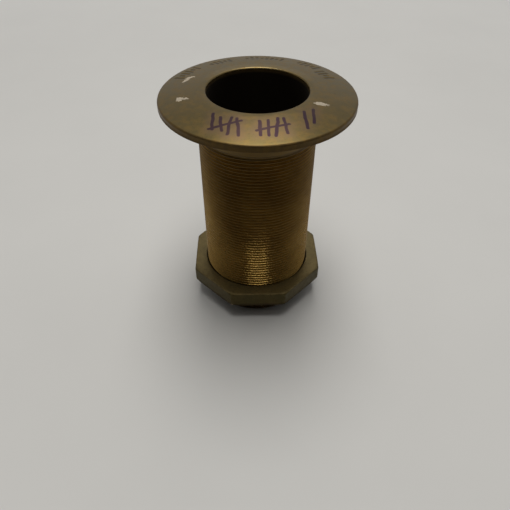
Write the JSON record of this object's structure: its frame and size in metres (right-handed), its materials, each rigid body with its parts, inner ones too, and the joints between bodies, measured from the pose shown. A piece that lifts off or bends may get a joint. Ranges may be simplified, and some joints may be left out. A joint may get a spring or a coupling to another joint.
{
  "type": "thru hull fitting",
  "caption": "Bronze through-hull fitting: shallow domed flange on a long pipe-threaded shank with an eight-sided back nut near the tail.",
  "frame": {"origin": "centre of the tail's end face, on the bore's axis, where the fitting stands", "axes": "+Z along the bore towards the flange, which is the outboard end; -Y faces one flat of the nut, but for a small turn"},
  "size_m": [0.12, 0.12, 0.1577],
  "materials": {
    "turned_bronze": "turned bronze, dulled brown",
    "cast_bronze": "cast bronze, greenish brown"
  },
  "bodies": {
    "flanged_body": {"flanged_body": "turned_bronze"},
    "back_nut": {"back_nut": "cast_bronze"}
  },
  "joints": [
    {"name": "nut_travel", "type": "slide", "parent": "flanged_body", "child": "back_nut", "axis": [0, 0, 1], "range_m": [-0.01385, 0.10391]}
  ]
}
